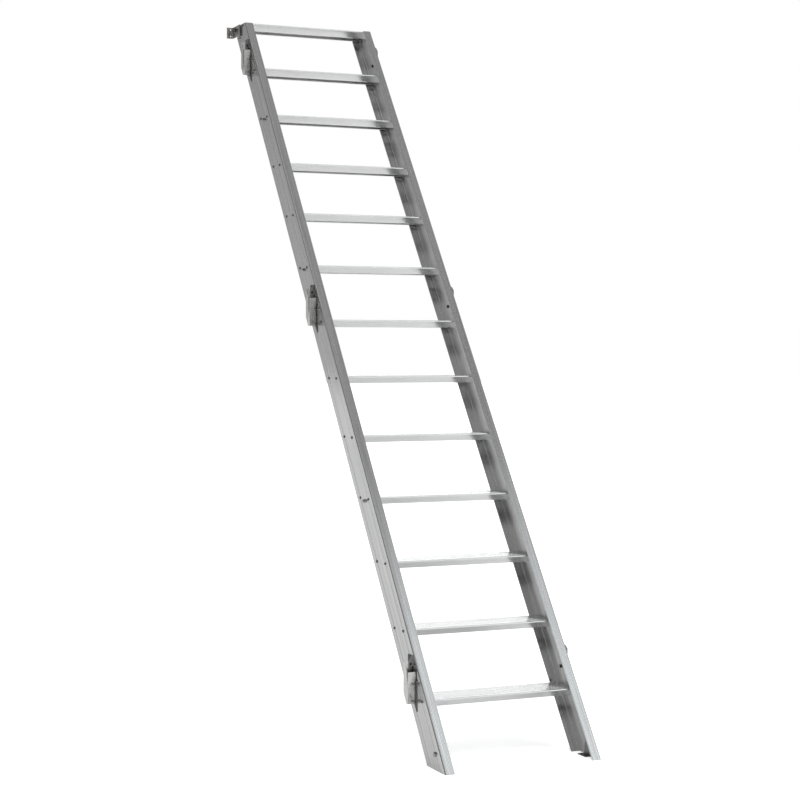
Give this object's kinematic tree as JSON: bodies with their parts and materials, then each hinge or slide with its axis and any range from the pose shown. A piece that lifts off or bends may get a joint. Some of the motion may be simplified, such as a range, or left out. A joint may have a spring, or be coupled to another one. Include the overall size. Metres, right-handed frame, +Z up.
{
  "type": "attic ladder",
  "caption": "Fixed aluminium attic ladder with channel stringers, level ribbed treads, handrail post sockets and pivoting wall and floor brackets.",
  "frame": {"origin": "on the floor, at the middle of the ladder's footprint (bottom centre of its bounding box)", "axes": "+X across the ladder to the climber's right, +Y the way the ladder leans, towards the wall, +Z up"},
  "size_m": [0.6026, 2.0938, 2.6],
  "materials": {
    "stringer": "satin mill finish, drawn lengthwise",
    "tread": "bright mill finish, ribbed top",
    "socket": "zinc plated sheet",
    "post_base": "dark passivated steel",
    "wall_bracket": "dark passivated steel",
    "floor_bracket": "dark passivated steel",
    "fastener": "zinc plated",
    "dark_fastener": "black oxide"
  },
  "bodies": {
    "ladder": {"left_stringer": "stringer", "right_stringer": "stringer", "tread_01": "tread", "tread_02": "tread", "tread_03": "tread", "tread_04": "tread", "tread_05": "tread", "tread_06": "tread", "tread_07": "tread", "tread_08": "tread", "tread_09": "tread", "tread_10": "tread", "tread_11": "tread", "tread_12": "tread", "tread_13": "tread", "tread_screws_left": "fastener", "tread_screws_right": "fastener", "lower_tie_rod": "fastener", "middle_tie_rod": "fastener", "upper_tie_rod": "fastener", "tie_rod_washers": "fastener", "tie_rod_nuts": "fastener", "lower_left_post_base": "post_base", "middle_left_post_base": "post_base", "upper_left_post_base": "post_base", "lower_right_post_base": "post_base", "middle_right_post_base": "post_base", "upper_right_post_base": "post_base", "lower_left_post_socket": "socket", "middle_left_post_socket": "socket", "upper_left_post_socket": "socket", "post_base_bolts": "fastener", "post_base_nuts": "fastener", "post_rivets": "dark_fastener", "post_clamp_bolts": "fastener", "wall_pivot_bolts": "dark_fastener", "wall_pivot_spacers": "fastener", "wall_pivot_washers": "fastener", "wall_pivot_nuts": "fastener", "floor_pivot_bolts": "fastener", "floor_pivot_spacers": "fastener", "floor_pivot_washers": "fastener", "floor_pivot_nuts": "fastener"},
    "left_wall_bracket": {"left_wall_bracket": "wall_bracket"},
    "right_wall_bracket": {"right_wall_bracket": "wall_bracket"},
    "left_floor_bracket": {"left_floor_bracket": "floor_bracket"},
    "right_floor_bracket": {"right_floor_bracket": "floor_bracket"}
  },
  "joints": [
    {"name": "left_wall_pivot", "type": "hinge", "parent": "ladder", "child": "left_wall_bracket", "pos_m": [-0.2751, 0.99287, 2.581], "axis": [1, 0, 0], "range_deg": [-15, 15]},
    {"name": "right_wall_pivot", "type": "hinge", "parent": "ladder", "child": "right_wall_bracket", "pos_m": [0.2751, 0.99287, 2.581], "axis": [1, 0, 0], "range_deg": [-15, 15]},
    {"name": "left_floor_pivot", "type": "hinge", "parent": "ladder", "child": "left_floor_bracket", "pos_m": [-0.2644, -0.96962, 0.048], "axis": [1, 0, 0], "range_deg": [-15, 15]},
    {"name": "right_floor_pivot", "type": "hinge", "parent": "ladder", "child": "right_floor_bracket", "pos_m": [0.2644, -0.96962, 0.048], "axis": [1, 0, 0], "range_deg": [-15, 15]}
  ],
  "couplings": [
    {"joint": "right_wall_pivot", "follows": "left_wall_pivot", "ratio": 1},
    {"joint": "left_floor_pivot", "follows": "left_wall_pivot", "ratio": 1},
    {"joint": "right_floor_pivot", "follows": "left_wall_pivot", "ratio": 1}
  ]
}
